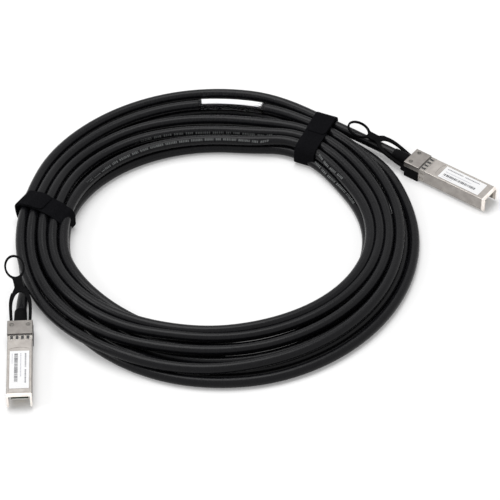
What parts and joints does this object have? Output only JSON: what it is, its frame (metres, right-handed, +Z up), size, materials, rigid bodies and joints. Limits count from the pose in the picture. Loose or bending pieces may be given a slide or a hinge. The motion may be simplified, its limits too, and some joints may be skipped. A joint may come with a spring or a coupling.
{
  "type": "direct attach copper cable",
  "caption": "Copper network cable wound in a flat coil, with a small pluggable metal plug and pull tab at each end, tied by hook-and-loop straps.",
  "frame": {"origin": "middle of the base of the box round the two plugs, on the surface that the cable lies on", "axes": "+Z up from that surface, +X along the longer side of the box round the two plugs, +Y along its other side, away from the viewer of the picture"},
  "size_m": [0.2785, 0.2499, 0.0233],
  "materials": {
    "cast_shell": "satin nickel plate on a die casting",
    "spring_steel": "satin sheet",
    "black_plastic": "fine matte moulding",
    "card": "solder mask",
    "chip": "matte",
    "gold": "gold plate",
    "foil": "foil",
    "crimp": "plain",
    "black_rubber": "matte",
    "paper": "coated paper",
    "jacket": "semi-gloss extruded jacket",
    "hook_and_loop": "woven hook and loop tape",
    "clear_film": "clear shrink sleeve"
  },
  "bodies": {
    "cable": {"plug_a_upper_shell": "cast_shell", "plug_a_lower_shell": "cast_shell", "plug_a_emi_collar": "spring_steel", "plug_a_rivets": "spring_steel", "plug_a_latch_pin": "spring_steel", "plug_a_latch_spring": "spring_steel", "plug_a_paddle_card": "card", "plug_a_card_chips": "chip", "plug_a_contact_pads": "gold", "plug_a_twinax_cores": "foil", "plug_a_crimp_ring": "crimp", "plug_a_boot": "black_rubber", "plug_a_label": "paper", "plug_b_upper_shell": "cast_shell", "plug_b_lower_shell": "cast_shell", "plug_b_emi_collar": "spring_steel", "plug_b_rivets": "spring_steel", "plug_b_latch_pin": "spring_steel", "plug_b_latch_spring": "spring_steel", "plug_b_paddle_card": "card", "plug_b_card_chips": "chip", "plug_b_contact_pads": "gold", "plug_b_twinax_cores": "foil", "plug_b_crimp_ring": "crimp", "plug_b_boot": "black_rubber", "plug_b_label": "paper", "cable_tail_a": "jacket", "cable_coil": "jacket", "cable_tail_b": "jacket", "strap_left": "hook_and_loop", "strap_right": "hook_and_loop", "label_sleeve": "clear_film", "wrap_label": "paper"},
    "plug_a_release": {"plug_a_release_slider": "black_plastic", "plug_a_pull_tab": "black_plastic"},
    "plug_a_rocker": {"plug_a_latch": "spring_steel"},
    "plug_b_release": {"plug_b_release_slider": "black_plastic", "plug_b_pull_tab": "black_plastic"},
    "plug_b_rocker": {"plug_b_latch": "spring_steel"}
  },
  "joints": [
    {"name": "plug_a_pull", "type": "slide", "parent": "cable", "child": "plug_a_release", "axis": [-0.0541, 0.9985, 0], "range_m": [0, 0.0025], "stiffness_N_per_m": 900, "springref_m": -0.0006},
    {"name": "plug_a_latch_tilt", "type": "hinge", "parent": "cable", "child": "plug_a_rocker", "pos_m": [-0.12937, -0.06498, 0.00245], "axis": [-0.9985, -0.0541, 0], "range_deg": [0, 6], "deforming": ["plug_a_latch_spring"]},
    {"name": "plug_b_pull", "type": "slide", "parent": "cable", "child": "plug_b_release", "axis": [-0.8039, 0.5948, 0], "range_m": [0, 0.0025], "stiffness_N_per_m": 900, "springref_m": -0.0006},
    {"name": "plug_b_latch_tilt", "type": "hinge", "parent": "cable", "child": "plug_b_rocker", "pos_m": [0.09872, 0.0749, 0.00245], "axis": [-0.5948, -0.8039, 0], "range_deg": [0, 6], "deforming": ["plug_b_latch_spring"]}
  ],
  "couplings": [
    {"joint": "plug_a_latch_tilt", "follows": "plug_a_pull", "rad_per_m": 41.887},
    {"joint": "plug_b_latch_tilt", "follows": "plug_b_pull", "rad_per_m": 41.887}
  ]
}
